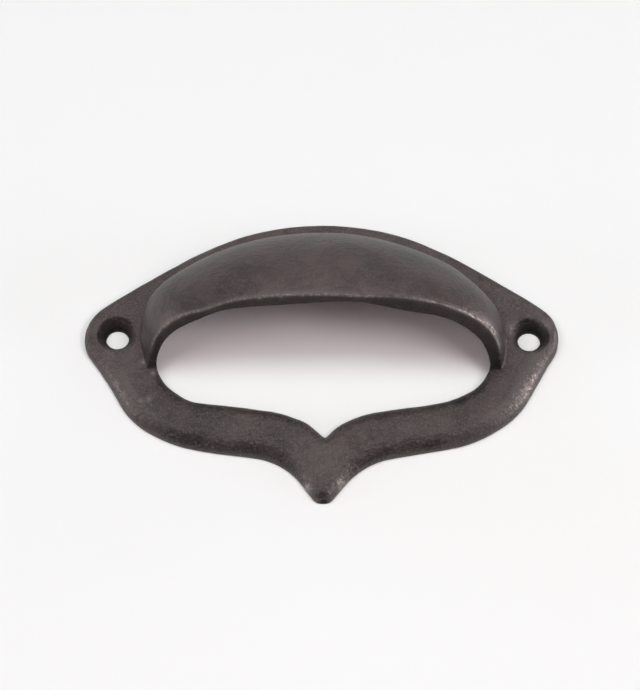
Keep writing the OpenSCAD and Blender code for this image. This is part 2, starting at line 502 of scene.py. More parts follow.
# The two halves of the mould didn't meet quite true: the ears and flanks
# differ, and the outer face of the hood sits askew on its inner face.
OUT_OF_TRUE = (
    Nudge((51, 1, 2), 12, (-0.47, -0.6, 0)),
    Nudge((49, -5, 1), 12, (-0.5, 0.1, 0)),
    Nudge((36, -24, 1), 12, (-0.48, 0.3, 0)),
    Nudge((34.5, -10.5, 2), 8, (0.35, -0.05, 0)),
    Nudge((32, -14, 2), 8, (-0.35, 0.2, 0)),
    Nudge((28, -16, 2), 8, (-0.05, 0.3, 0)),
    Nudge((25, 21.5, 3), 12, (-0.33, -0.1, 0)),
    Nudge((6, -34, 1), 12, (0, -0.5, 0)),
    Nudge((5, -21, 2), 12, (0, -0.28, 0)),
    Nudge((0, -25, 2), 5, (0.42, 0, 0)),
    Nudge((-3.5, -22.5, 2), 5, (0, 0.6, 0)),
    Nudge((4, -22.5, 2), 5, (0, 0.2, 0)),
    Nudge((-25, -27, 1), 12, (-0.15, -0.5, 0)),
    Nudge((-28, -16, 2), 12, (-0.65, -0.15, 0)),
    Nudge((-34.5, -10.5, 2), 8, (-0.25, -0.2, 0)),
    Nudge((-32.5, -14, 2), 6, (0.2, 0.4, 0)),
    Nudge((-40, -20.5, 1), 12, (-0.4, -0.1, 0)),
    Nudge((-51, 1, 2), 12, (0, -0.9, 0)),
    Nudge((-25, 21.5, 3), 12, (0, -0.22, 0)),
    Nudge((32, -5, 17), 18, (1.1, 0.3, 0.18), Part.HOOD_FACE),
    Nudge((14, -3.4, 24.5), 18, (-0.19, -0.16, -0.09), Part.HOOD_FACE),
    Nudge((20, 17, 11), 18, (-0.06, -0.36, -0.21), Part.HOOD_FACE),
    Nudge((28, 14, 10), 18, (-0.13, -0.1, -0.06), Part.HOOD_FACE),
    Nudge((33, 9, 8), 8, (-0.25, -0.28, -0.16), Part.HOOD_FACE),
    Nudge((-26, -4.2, 21), 8, (0.08, -0.58, -0.33), Part.HOOD_FACE),
    Nudge((-33, 9, 8), 18, (-0.43, 0.04, 0.02), Part.HOOD_FACE),
    Nudge((-36, 5, 8), 12, (-0.64, 0.47, 0.27), Part.HOOD_FACE),
    Nudge((-37, -7, 8), 8, (0.57, 0.16, 0.09), Part.HOOD_FACE),
    Nudge((20, -3.6, 23.3), 14, (0, 0.5, 0.5), Part.HOOD_FACE),
    Nudge((-28, -4.5, 19.5), 7, (0, 0.25, 0.3), Part.HOOD_FACE),
    Nudge((17, -4.5, 21.5), 10, (0, -0.45, -0.6), Part.HOOD_INSIDE),
    Nudge((-9, -4.3, 22.6), 14, (0, -0.4, -0.4), Part.HOOD_INSIDE),
    Nudge((-27, -5, 18.5), 7, (0, -0.25, -0.25), Part.HOOD_INSIDE),
)

# Rubbed spots that stand alone, lightened partly as wear and partly as painted highlight: by the
# left foot, on the left arm, round the right countersink, on the sides and the root of the
# point and on the middle of the lip.
RUBS_AND_HIGHLIGHTS = (
    RubAndHighlight((-38.6, -7.0, 3), 1.4, 1.2),
    RubAndHighlight((-36.1, -9.2, 3), 1.4, 1.1),
    RubAndHighlight((-36.8, -15.9, 3), 1.3, 1.1),
    RubAndHighlight((-38.5, -16.2, 3), 1.1, 1.0),
    RubAndHighlight((41.2, 2.2, 3), 2.6, 1.0),
    RubAndHighlight((48.8, 3.0, 2.5), 3.2, 0.9),
    RubAndHighlight((-3.3, -36.2, 1.8), 3.4, 1.15),
    RubAndHighlight((4.3, -35.2, 1.8), 4.2, 1.2),
    RubAndHighlight((0.5, -30.5, 3.2), 8.0, 0.35),
    RubAndHighlight((-13.3, -3.5, 24.4), 1.1, 1.3),
    RubAndHighlight((-8.8, -3.4, 24.9), 1.1, 1.3),
    RubAndHighlight((-4.5, -3.3, 25.2), 1.0, 1.3),
)

# Small marks of the mould and of use: pimples, pits and a dent in the tip
MARKS = (
    Mark((3.2, 10.8, 21.0), 0.6, 0.14),
    Mark((43.9, -13.8, 2.4), 0.55, -0.3),
    Mark((34.4, 14.9, 3.0), 0.8, 0.3),
    Mark((-38.6, -7.4, 3.2), 0.7, 0.25),
    Mark((-36.0, -8.0, 3.2), 1.2, -0.12),
    Mark((-35.6, -13.6, 3.2), 0.8, 0.12),
    Mark((-37.8, -15.2, 3.2), 1.6, -0.1),
    Mark((-30.6, -20.1, 3.2), 0.9, -0.12),
    Mark((0.2, -38.9, 1.0), 1.6, -0.5),
)


@dataclass(frozen=True)
class Flank:
    """A length of the plate's outer edge that hands have rubbed and that is lightened as painted
    highlight, in millimetres.
    """

    centre: tuple[float, float]
    radius: float
    amount: float

    def share(self, x: np.ndarray, y: np.ndarray) -> np.ndarray:
        """Return how rubbed and highlighted the edge is at places on the plate."""
        return self.amount * bell(np.hypot(x - self.centre[0], y - self.centre[1]), self.radius)


@dataclass(frozen=True)
class Handling:
    """Where the skin is lighter, as wear and painted highlight, and where it gets painted shade, in
    millimetres.

    Amounts run from 0, untouched, to 1.3, where bare metal shows throughout.
    """

    # The flanks are lighter partly as wear and partly as painted highlight, the right one more.
    flanks: tuple[Flank, ...] = (
        Flank((44.0, -12.5), 25.0, 1.0),
        Flank((-42.0, -14.0), 17.0, 0.8),
    )
    point_y: float = -34.0
    point_stretch: float = 1.3
    point_radius: float = 9.0
    point_wear_and_highlight: float = 0.95
    ridge: float = 3.0
    # The lip: wear and painted highlight along its outer corner.
    lip_wear_and_highlight: float = 0.88
    lip_wear_and_highlight_right: float = 0.42
    lip_right: tuple[float, float] = (33.0, 17.0)
    lip_heights: tuple[float, float] = (6.0, 11.0)
    crust_wear_and_highlight: float = 1.25
    crust_steps: float = 6.5
    crust_at: tuple[float, float] = (34.0, 14.0)
    crust_radius: float = 9.0
    most: float = 1.3
    # Painted shade on the rim face and the inside of the hood, and in pits deeper than deep_pit.
    rim_shade: float = 0.25
    inside_shade: float = 0.45
    deep_pit: float = -0.4


@dataclass
class Casting:
    """The pull's one casting: plate, ears, arms, point and hood.

    Lengths are in millimetres. Where the outer edge's rounding widens and narrows
    is counted in steps along that edge.
    """

    size: Sizes = field(default_factory=Sizes)
    steps: Steps = field(default_factory=Steps)
    hood_stations: int = 150
    arm_stations: int = 125
    hood_bunching: float = 1.45
    arm_bunching: float = 1.8
    arm_bunched: float = 0.35
    foot_edge_r: float = 0.3
    least_edge: float = 0.3
    widening: tuple[float, float] = (20.0, 35.0)
    narrowing: tuple[float, float] = (47.0, 53.0)
    mouth_edge: float = 0.4
    mouth_edge_in: float = 0.45
    lip_slant: float = 0.92
    least_rise: float = 0.25
    least_run: float = 0.01
    bore_share: float = 0.45
    wave_length: float = 16.0
    swell_length: float = 6.5
    wave_depth: float = 0.05
    ripple_length: float = 2.2
    ripple_depth: float = 0.018
    chip_length: float = 2.4
    chip_spacing: float = 6.0
    chip_depth: float = 0.22
    chip_heights: tuple[float, float] = (5.0, 8.0)
    chips_grow: tuple[float, float] = (-8.0, 26.0)
    flat_back: float = 0.6
    box_spare: float = 0.02
    sharp_angle: float = 50.0
    marks: tuple[Mark, ...] = MARKS
    rubs_and_highlights: tuple[RubAndHighlight, ...] = RUBS_AND_HIGHLIGHTS
    nudges: tuple[Nudge, ...] = OUT_OF_TRUE
    handling: Handling = field(default_factory=Handling)

    def __post_init__(self) -> None:
        """Lay out the plate's edges."""
        self.edges = PlateEdges(self.size)

    # The hood's curves

    def base(self, f: np.ndarray, width: float, depth: float) -> np.ndarray:
        """Follow the hood's outline on the plate.

        Args:
            f: Fractions of the way, 0 at the back and 1 at the foot.
            width: Half the outline's greatest width.
            depth: Its depth, from the widest place to the back.

        Returns:
            Points of the outline.
        """
        z = self.size
        low = -math.asin(((z.foot_y + z.base_mid_y) / depth) ** (z.base_n / 2))
        angle = math.pi / 2 - (math.pi / 2 - low) * f
        c, s = np.cos(angle), np.sin(angle)
        x = width * np.sign(c) * np.abs(c) ** (2 / z.base_n)
        y = z.base_mid_y + depth * np.sign(s) * np.abs(s) ** (2 / z.base_n)
        return np.stack([x, y], axis=-1)

    def base_out(self, p: np.ndarray, width: float, depth: float) -> np.ndarray:
        """Find which way is outward on the hood's outline.

        Args:
            p: Points of the outline.
            width: Half the outline's greatest width.
            depth: Its depth, from the widest place to the back.

        Returns:
            The outward direction at each point.
        """
        z = self.size
        x, y = p[:, 0] / width, (p[:, 1] - z.base_mid_y) / depth
        nx = np.sign(x) * np.abs(x) ** (z.base_n - 1) / width
        ny = np.sign(y) * np.abs(y) ** (z.base_n - 1) / depth
        return unit(np.stack([nx, ny], axis=-1))

    def mouth(self, f: np.ndarray, width: float, rise: float, n: float) -> np.ndarray:
        """Follow the arch of the mouth, in its leaning plane.

        Args:
            f: Fractions of the way, 0 at the top and 1 at the foot.
            width: Half the arch's width.
            rise: Its height above the plate.
            n: How full its shoulders are, where 2 is an ellipse.

        Returns:
            Points of the arch.
        """
        z = self.size
        least = math.asin((self.least_rise / rise) ** (n / 2))
        angle = math.pi / 2 - (math.pi / 2 - least) * f
        up = rise * np.sin(angle) ** (2 / n)
        x = width * np.abs(np.cos(angle)) ** (2 / n)
        y = -z.foot_y + math.tan(math.radians(z.lean)) * up
        return np.stack([x, y, z.plate_t + up], axis=-1)

    def rib(self, b: np.ndarray, m: np.ndarray, angle: np.ndarray) -> np.ndarray:
        """Return lines of the hood's surface from base points up to the mouth.

        Args:
            b: Base points on the plate, one row a line.
            m: Mouth points, one row a line.
            angle: Angles along each line, one row a line.

        Returns:
            An array of lines by points by coordinates.
        """
        n = self.size.full_n
        c = np.cos(angle)[..., None] ** (2 / n)
        s = np.sin(angle)[..., None] ** (2 / n)
        plane = m[:, None, :2] + (b - m[:, :2])[:, None, :] * c
        height = self.size.plate_t + (m[:, None, 2:] - self.size.plate_t) * s
        return np.concatenate([plane, height], axis=-1)

    # Pieces of a section

    @staticmethod
    def flat(plane: np.ndarray, height: np.ndarray | float) -> np.ndarray:
        """Join plane points and heights.

        Args:
            plane: Points on the plate.
            height: One height, or one for each point.

        Returns:
            The points in space.
        """
        high = np.broadcast_to(np.asarray(height, float), plane.shape[:-1])
        return np.concatenate([plane, high[..., None]], axis=-1)

    @staticmethod
    def bend(a: np.ndarray, corner: np.ndarray, b: np.ndarray, n: int) -> np.ndarray:
        """Bend softly from a to b round a sharp corner.

        Args:
            a: First point of each bend.
            corner: Sharp corner of each bend.
            b: Last point of each bend.
            n: How many steps a bend has.

        Returns:
            The n + 1 points of each bend.
        """
        t = np.linspace(0, 1, n + 1)[None, :, None]
        a, corner, b = a[:, None, :], corner[:, None, :], b[:, None, :]
        return a * (1 - t) ** 2 + corner * 2 * t * (1 - t) + b * t**2

    @staticmethod
    def between(a: np.ndarray, b: np.ndarray, n: int) -> np.ndarray:
        """Divide the way from a to b.

        Args:
            a: First point of each row.
            b: Last point of each row.
            n: How many steps a row has.

        Returns:
            The n - 1 points strictly between them.
        """
        t = (np.arange(1, n) / n)[None, :, None]
        return a[:, None, :] + (b - a)[:, None, :] * t

    def side_up(
        self, p: np.ndarray, way: np.ndarray, width: np.ndarray, tall: np.ndarray
    ) -> np.ndarray:
        """Draw the side of the plate, from its back edge to its front face.

        Args:
            p: Points of the edge.
            way: Directions from the edge into the metal.
            width: Width of the rounded front edge at each point.
            tall: Height of that rounding at each point.

        Returns:
            Points up the side of each section.
        """
        top = self.size.plate_t
        low = np.linspace(-math.pi / 2, 0, self.steps.foot_round + 1)
        foot = self.back_edge(p, way, low)
        turn = np.linspace(0, math.pi / 2, self.steps.edge + 1)
        edge = self.flat(
            p[:, None, :] + way[:, None, :] * (width[:, None] * (1 - np.cos(turn)))[..., None],
            top - tall[:, None] * (1 - np.sin(turn)),
        )
        wall = self.between(foot[:, -1], edge[:, 0], self.steps.side)
        return np.concatenate([foot, wall, edge], axis=1)

    def back_edge(self, p: np.ndarray, way: np.ndarray, low: np.ndarray) -> np.ndarray:
        """Draw the small rounding where a side meets the back.

        Args:
            p: Points of the edge.
            way: Directions from the edge into the metal.
            low: Angles of the rounding, -90 degrees on the back and 0 on the side.

        Returns:
            Points of the rounding in each section.
        """
        e = self.foot_edge_r
        return self.flat(
            p[:, None, :] + way[:, None, :] * (e * (1 - np.cos(low)))[None, :, None],
            (e + e * np.sin(low))[None, :],
        )

    def edge_round(self, place: np.ndarray) -> tuple[np.ndarray, np.ndarray]:
        """Size the rounding of the outer edge: narrow beside the hood, wide on the arms.

        Args:
            place: Places, counted in steps from the top of the outer edge.

        Returns:
            Width and height of the rounding.
        """
        z = self.size
        arm = ramp(place, *self.widening)
        width = z.top_edge_r + (z.arm_edge_w - z.top_edge_r) * arm
        tip = ramp(place, *self.narrowing)
        width = width + (np.minimum(width, z.tip_r * 0.85) - width) * tip
        return width, z.top_edge_r + (z.arm_edge_t - z.top_edge_r) * arm

    def hood_sections(self, f: np.ndarray) -> np.ndarray:
        """Draw the sections that carry the hood.

        Args:
            f: Fractions of the way, 0 at the top and 1 at the foot.

        Returns:
            An array of sections by points by coordinates.
        """
        z, e, n = self.size, self.edges, self.steps
        top = z.plate_t
        o, left = e.outer_hood.at(f * e.HOOD_STEPS)
        b = self.base(f, e.base_w, e.base_d)
        out = self.base_out(b, e.base_w, e.base_d)
        bi = self.base(f, e.base_in_w, e.base_in_d)
        out_in = self.base_out(bi, e.base_in_w, e.base_in_d)
        rise = z.hood_h - top
        m = self.mouth(f, e.foot_x, rise, z.mouth_n)
        mi = self.mouth(f, e.foot_in_x, rise - z.wall * self.lip_slant, z.mouth_in_n)
        h, hi = m[:, 2] - top, mi[:, 2] - top
        # Near the foot the hood is low, and its roundings shrink with it.
        r = np.minimum(z.fillet_r, h * 0.4)
        lip = np.minimum(self.mouth_edge, h * 0.25)
        lip_in = np.minimum(self.mouth_edge_in, hi * 0.25)
        a0 = np.arcsin((r / h) ** (z.full_n / 2))
        a1 = self.stop_angle(b, m, lip)
        a2 = self.stop_angle(bi, mi, lip_in)
        k = np.linspace(0, 1, n.outside + 1)
        outside = self.rib(b, m, a0[:, None] + (a1 - a0)[:, None] * k)
        k = np.linspace(1, 0, n.inside + 1)
        inside = self.rib(bi, mi, a2[:, None] * k)
        side = self.side_up(o, -left, *self.edge_round(f * e.HOOD_STEPS))
        fillet = self.bend(
            self.flat(b + out * r[:, None], top), self.flat(b, top), outside[:, 0], n.fillet
        )
        strip = self.between(side[:, -1], fillet[:, 0], n.strip)
        across = unit(mi - m)
        lip_a = self.bend(outside[:, -1], m, m + across * lip[:, None], n.lip)
        lip_b = self.bend(mi - across * lip_in[:, None], mi, inside[:, 0], n.lip)
        face = self.between(lip_a[:, -1], lip_b[:, 0], n.face)
        low = top * self.bore_share
        bore = self.between(self.flat(bi, top), self.flat(bi, low), n.bore_edge + 1)
        under = self.side_down(bi, out_in, low)
        back = self.between(under[:, -1], side[:, 0], n.back)
        parts = [side, strip, fillet, outside[:, 1:-1], lip_a, face, lip_b]
        parts += [inside[:, 1:-1], self.flat(bi, top)[:, None, :], bore, under, back]
        return np.concatenate(parts, axis=1)

    def side_down(self, p: np.ndarray, way: np.ndarray, start: float) -> np.ndarray:
        """Draw the side of the opening, down to the back edge.

        Args:
            p: Points of the edge.
            way: Directions from the edge into the metal.
            start: Height at which it starts.

        Returns:
            Points down the side of each section.
        """
        low = np.linspace(0, -math.pi / 2, self.steps.foot_round + 1)
        foot = self.back_edge(p, way, low)
        head = self.flat(p, start)[:, None, :]
        wall = self.between(head[:, 0], foot[:, 0], self.steps.side)
        return np.concatenate([head, wall, foot], axis=1)

    def stop_angle(self, b: np.ndarray, m: np.ndarray, short: np.ndarray) -> np.ndarray:
        """Find where a line of the hood stops short of the mouth, to leave room for the lip.

        Args:
            b: Base points on the plate.
            m: Mouth points.
            short: How far short of the mouth each line stops.

        Returns:
            The angle at which each line stops.
        """
        run = np.maximum(self.least_run, np.linalg.norm(b - m[:, :2], axis=1))
        return np.arccos(np.minimum(0.4, short / run) ** (self.size.full_n / 2))

    def arm_sections(self, t: np.ndarray) -> np.ndarray:
        """Draw the sections below the feet, down to the tip.

        Args:
            t: Places, counted in steps from the foot.

        Returns:
            An array of sections by points by coordinates.
        """
        z, e, n = self.size, self.edges, self.steps
        o, left = e.outer_arm.at(t)
        s, left_in = e.inner.at(t)
        ro, tall = self.edge_round(e.HOOD_STEPS + t)
        # Over 6 steps below the foot the inner rounding grows to its full size, and
        # over 10 the points across spread out evenly.
        grow = smooth(t / 6.0)
        ri = self.least_edge + (z.in_edge_w - self.least_edge) * grow
        tall_in = self.least_edge + (z.arm_edge_t - self.least_edge) * grow
        side = self.side_up(o, -left, ro, tall)
        f = smooth(t / 10.0)
        po, pi = o - left * ro[:, None], s + left_in * ri[:, None]
        width = np.linalg.norm(po - pi, axis=1)
        near = self.near_foot(width) / width[:, None]
        even = 1 - (np.arange(n.across()) + 1.0)[None, :] / (n.across() + 1)
        q = near + (even - near) * f[:, None]
        height = z.plate_t + z.arm_crown * f[:, None] * (4 * q * (1 - q)) ** 2
        across = self.flat(pi[:, None, :] + (po - pi)[:, None, :] * q[..., None], height)
        turn = np.linspace(math.pi / 2, 0, n.bore_edge + 1)
        bore = self.flat(
            s[:, None, :] + left_in[:, None, :] * (ri[:, None] * (1 - np.cos(turn)))[..., None],
            z.plate_t - tall_in[:, None] * (1 - np.sin(turn)),
        )
        foot = self.back_edge(s, left_in, np.linspace(0, -math.pi / 2, n.foot_round + 1))
        wall = self.between(bore[:, -1], foot[:, 0], n.side)
        under = np.concatenate([wall, foot], axis=1)
        back = self.between(under[:, -1], side[:, 0], n.back)
        return np.concatenate([side, across, bore, under, back], axis=1)

    def near_foot(self, width: np.ndarray) -> np.ndarray:
        """Place the points across the plate just below a foot.

        They carry on from the foot's own section, so that the surface runs
        from one to the other without a twist.

        Args:
            width: Width of the flat top at each section.

        Returns:
            Distances from the inner edge, one row a section.
        """
        # Each run is laid where the foot has the same run: the wall w stands on it.
        n, w, r = self.steps, self.size.wall, self.size.fillet_r
        start = w + r
        k = 1 - np.arange(1, n.strip) / n.strip
        strip = start + (width[:, None] + self.least_edge - start) * k[None, :]
        fillet = np.linspace(w + r * 0.9, w + 0.15, n.fillet + 1)
        outside = np.linspace(w + 0.14, w - 0.1, n.outside - 1)
        lip_a = np.linspace(w - 0.12, w - 0.5, n.lip + 1)
        face = np.linspace(w - 0.5, 0.7, n.face + 1)[1:-1]
        lip_b = np.linspace(0.7, 0.45, n.lip + 1)
        inside = np.linspace(0.44, 0.33, n.inside)
        rest = np.concatenate([fillet, outside, lip_a, face, lip_b, inside])
        rows = np.repeat(rest[None, :], len(width), axis=0)
        joined = np.concatenate([strip, rows], axis=1)
        if joined.shape[1] != n.across():
            raise ValueError(f"{joined.shape[1]} points across, not {n.across()}")
        return joined - self.least_edge

    def stations(self) -> tuple[np.ndarray, np.ndarray]:
        """Return the places of the sections on the hood and the arm, close at the foot."""
        k = np.linspace(0, 1, self.hood_stations)
        f = 1 - (1 - k) ** self.hood_bunching
        j = np.arange(1, self.arm_stations + 1) / self.arm_stations
        share = self.arm_bunched
        t = PlateEdges.ARM_STEPS * (share * j**self.arm_bunching + (1 - share) * j)
        return f, t

    def ring(self) -> np.ndarray:
        """Return all sections round the pull, both halves."""
        f, t = self.stations()
        half = np.concatenate([self.hood_sections(f), self.arm_sections(t)])
        mirror = half[-2:0:-1].copy()
        mirror[..., 0] *= -1
        return np.concatenate([half, mirror])

    def wear_and_highlight(self, ring: np.ndarray) -> np.ndarray:
        """Tell how rubbed the skin is, and where it is lightened as painted highlight: on the
        flanks, the point, the lip and in spots.

        Args:
            ring: All sections round the pull.

        Returns:
            One row a section, one value a point, as in Handling.
        """
        n, hands = self.steps, self.handling
        x, y, z = ring[..., 0], ring[..., 1], ring[..., 2]
        count = np.arange(self.steps.whole())
        edge = n.foot_round + n.side + n.edge * 0.5
        corner = bell(np.abs(count - edge), n.edge)[None, :]
        # The point is rubbed on both sides but not along its middle, and lightened there as painted
        # highlight.
        away = np.hypot(x, (y - hands.point_y) / hands.point_stretch)
        rubbed = hands.point_wear_and_highlight * bell(away, hands.point_radius) * smooth(np.abs(x) / hands.ridge)
        # On the flanks: wear, and painted highlight on the edge's rounding.
        for flank in hands.flanks:
            rubbed = np.maximum(rubbed, flank.share(x, y))
        # Along the lip's outer corner: wear and painted highlight, more towards the right.
        middle, reach = hands.lip_right
        most = hands.lip_wear_and_highlight + hands.lip_wear_and_highlight_right * bell(np.abs(x - middle), reach)
        lip = self.lip_share()[None, :] * ramp(z, *hands.lip_heights) * most
        # By the right foot the rubbing, with its painted highlight, spreads from the lip on to the
        # hood.
        ahead = self.first_of()["lip"] - count
        crust = hands.crust_wear_and_highlight * bell(np.abs(ahead), hands.crust_steps)[None, :] * (ahead > 0)
        away = np.hypot(x - hands.crust_at[0], z - hands.crust_at[1])
        lip = np.maximum(lip, crust * bell(away, hands.crust_radius))
        worn_and_lit = np.maximum(corner * rubbed, lip)
        for spot in self.rubs_and_highlights:
            away = np.linalg.norm(ring - np.array(spot.place), axis=-1)
            worn_and_lit = np.maximum(worn_and_lit, spot.amount * bell(away, spot.radius))
        return np.clip(worn_and_lit, 0.0, hands.most)

    def matt_and_painted_shade(self, ring: np.ndarray) -> np.ndarray:
        """Tell where the skin gets painted shade: a darker colour, and a matt finish.

        The hood's rim face and inside get it, and so do the deep pits.

        Args:
            ring: All sections round the pull.

        Returns:
            One row a section, one value a point, from 0 to 1.
        """
        hands = self.handling
        # Painted shade on the rim face and on the inside of the hood.
        share = np.zeros(self.steps.whole())
        start = self.first_of()["face"] - 1
        share[start], share[start + 1 :] = hands.rim_shade, hands.inside_shade
        dark = share[None, :] * smooth((ring[..., 2] - self.size.plate_t - 0.3) / 1.5)
        for mark in self.marks:
            if mark.height < hands.deep_pit:
                away = np.linalg.norm(ring - np.array(mark.place), axis=-1)
                dark = np.maximum(dark, bell(away, mark.radius))
        return dark

    # The mesh

    def shell(self) -> tuple[bpy.types.Object, dict[str, np.ndarray]]:
        """Make the casting without its holes.

        Returns:
            The object, and for each of its points how rubbed and highlighted it is and how much
            painted shade it gets.
        """
        ring = self.ring()
        rows, points = ring.shape[:2]
        i, j = np.meshgrid(np.arange(rows), np.arange(points), indexing="ij")
        i2, j2 = (i + 1) % rows, (j + 1) % points
        quads = np.stack(
            [i * points + j, i * points + j2, i2 * points + j2, i2 * points + j], axis=-1
        ).reshape(-1, 4)
        mesh = bpy.data.meshes.new("cast body")
        mesh.from_pydata((ring.reshape(-1, 3) * MM).tolist(), [], quads.tolist())
        mesh.update()
        normals = np.zeros(rows * points * 3)
        mesh.vertices.foreach_get("normal", normals)
        true = ring.reshape(-1, 3)
        moved = self.cast_skin(true, normals.reshape(-1, 3), np.tile(self.lip_share(), rows))
        moved = self.keep_in_box(moved + self.settled(true, np.tile(self.face_share(), rows)))
        mesh.vertices.foreach_set("co", (moved * MM).ravel())
        mesh.update()
        body = bpy.data.objects.new("cast_pull", mesh)
        bpy.context.collection.objects.link(body)
        return body, {"wear_and_highlight": self.wear_and_highlight(ring).ravel(), "matt_and_painted_shade": self.matt_and_painted_shade(ring).ravel()}

    def first_of(self) -> dict[str, int]:
        """Return where the fillet, lip, face and inside begin along a section."""
        n = self.steps
        fillet = n.foot_round + 1 + n.side - 1 + n.edge + 1 + n.strip - 1
        lip = fillet + n.fillet + 1 + n.outside - 1
        face = lip + n.lip + 1
        return {"fillet": fillet, "lip": lip, "face": face, "inside": face + n.face - 1}

    def face_share(self) -> np.ndarray:
        """Return how far each point of a section belongs to the hood's outer face.

        Returns:
            One value a point, from 0 to 1.
        """
        n, at = self.steps, self.first_of()
        share = np.zeros(self.steps.whole())
        strip = at["fillet"] - n.strip + 1
        share[strip : at["fillet"]] = np.arange(1, n.strip) / n.strip
        share[at["fillet"] : at["face"]] = 1.0
        share[at["face"] : at["inside"]] = 1 - np.arange(1, n.face) / n.face
        return share

    def lip_share(self) -> np.ndarray:
        """Return how near each point of a section is to the lip's outer corner.

        Returns:
            One value a point, from 0 to 1.
        """
        at = self.first_of()
        middle, half = (at["lip"] + at["face"] - 1) / 2, (at["face"] - 1 - at["lip"]) / 2
        away = np.abs(np.arange(self.steps.whole()) - middle) - half * 0.6
        return bell(np.maximum(away, 0.0), half * 0.4 + 1.4)

    def cast_skin(
        self, points: np.ndarray, normals: np.ndarray, lip: np.ndarray
    ) -> np.ndarray:
        """Give the true shape the uneven skin of a sand casting.

        Args:
            points: Points of the true shape.
            normals: Outward directions at the points.
            lip: How near each point is to the lip's outer corner.

        Returns:
            The moved points.
        """
        wave = SineField(3, self.wave_length).at(points) * 0.6
        wave = wave + SineField(5, self.swell_length).at(points) * 0.4
        ripple = SineField(8, self.ripple_length).at(points)
        rise = self.wave_depth * wave + self.ripple_depth * ripple
        # The lip is chipped, hardly on the left and more towards the right foot.
        chips = smooth(SineField(21, self.chip_length).at(points) * 1.6)
        chips = chips + 0.6 * SineField(22, self.chip_spacing).at(points)
        above = ramp(points[:, 2], *self.chip_heights)
        rubbed = 0.35 + 0.65 * ramp(points[:, 0], *self.chips_grow)
        rise = rise - self.chip_depth * chips * lip * above * rubbed
        for mark in self.marks:
            away = np.linalg.norm(points - np.array(mark.place), axis=1)
            rise = rise + mark.height * bell(away, mark.radius)
        # The back lies flat against the drawer front.
        rise = rise * ramp(points[:, 2], 0.0, self.flat_back)
        return points + normals * rise[:, None]

    def settled(self, points: np.ndarray, face: np.ndarray) -> np.ndarray:
        """Tell how far each point of the real casting lies from its true place.

        Args:
            points: Points of the true shape.
            face: How far each point belongs to the hood's outer face.

        Returns:
            The move of each point.
        """
        total = np.zeros_like(points)
        # What isn't the outer face is the inside, except on the plate.
        inside = (1 - face) * smooth((points[:, 2] - self.size.plate_t - 2.0) / 4.0)
        shares = {Part.WHOLE: 1.0, Part.HOOD_FACE: face, Part.HOOD_INSIDE: inside}
        for nudge in self.nudges:
            away = np.linalg.norm(points - np.array(nudge.place), axis=1)
            share = bell(away, nudge.reach) * shares[nudge.part]
            total += share[:, None] * np.array(nudge.move)
        # The plate stays as thick as it is.
        total[:, 2] *= smooth((points[:, 2] - self.size.plate_t) / 4.0)
        return total

    def keep_in_box(self, points: np.ndarray) -> np.ndarray:
        """Hold all points within the length, width and height of the true shape.

        Args:
            points: Points of the casting.

        Returns:
            The same points, those outside moved to the nearest wall of the box.
        """
        z, spare = self.size, self.box_spare
        low = np.array([-z.hole_spacing / 2 - z.ear_out, -z.notch_bottom - z.tip_len, 0.0])
        high = np.array([z.hole_spacing / 2 + z.ear_out, z.hood_back + z.top_margin, z.hood_h])
        return np.clip(points, low + [spare, spare, 0.0], high - spare)

    def hole_profile(self) -> list[tuple[float, float]]:
        """Draw the half section that is turned into a countersunk hole.

        The mouth of the countersink is softly rounded, as cast and rubbed.

        Returns:
            Radius and height of each point, from behind the plate to in front of it.
        """
        z = self.size
        top = z.plate_t
        beyond, bevel, soft, corners = 1.0, 0.06, 0.5, 8
        half = math.radians(z.sink_angle / 2)
        r0, r1 = z.hole_d / 2, z.sink_d / 2
        profile = [(r0, -beyond), (r0, top - (r1 - r0) / math.tan(half) - 0.1)]
        profile.append((r0 + bevel, top - (r1 - r0) / math.tan(half) + 0.02))
        tangent = soft * math.tan((math.pi / 2 - half) / 2)
        start = (r1 - tangent * math.sin(half), top - tangent * math.cos(half))
        centre = (start[0] + soft * math.cos(half), start[1] - soft * math.sin(half))
        for k in range(corners + 1):
            # The rounding stops a little short, so that it crosses the plate's face.
            angle = math.pi - half + (half - math.pi / 2) * 0.92 * k / corners
            profile.append(
                (centre[0] + soft * math.cos(angle), centre[1] + soft * math.sin(angle))
            )
        profile.append((profile[-1][0] + 0.01, top + beyond))
        return profile

    def hole_cutter(self, side: int) -> bpy.types.Object:
        """Make the turned shape that a countersunk hole takes away.

        Args:
            side: 1 for the right hole, -1 for the left.

        Returns:
            The cutter, standing at its hole.
        """
        turns = 72
        angles = [2 * math.pi * k / turns for k in range(turns)]
        x = side * self.size.hole_spacing / 2
        shape = bmesh.new()
        loops = []
        for r, h in self.hole_profile():
            ring = [((x + r * math.cos(a)) * MM, r * math.sin(a) * MM, h * MM) for a in angles]
            loops.append([shape.verts.new(place) for place in ring])
        for low, high in zip(loops, loops[1:]):
            for k in range(turns):
                n = (k + 1) % turns
                shape.faces.new((low[k], low[n], high[n], high[k]))
        shape.faces.new(list(reversed(loops[0])))
        shape.faces.new(loops[-1])
        bmesh.ops.recalc_face_normals(shape, faces=shape.faces)
        mesh = bpy.data.meshes.new("hole cutter")
        shape.to_mesh(mesh)
        shape.free()
        cutter = bpy.data.objects.new("hole cutter", mesh)
        bpy.context.collection.objects.link(cutter)
        return cutter

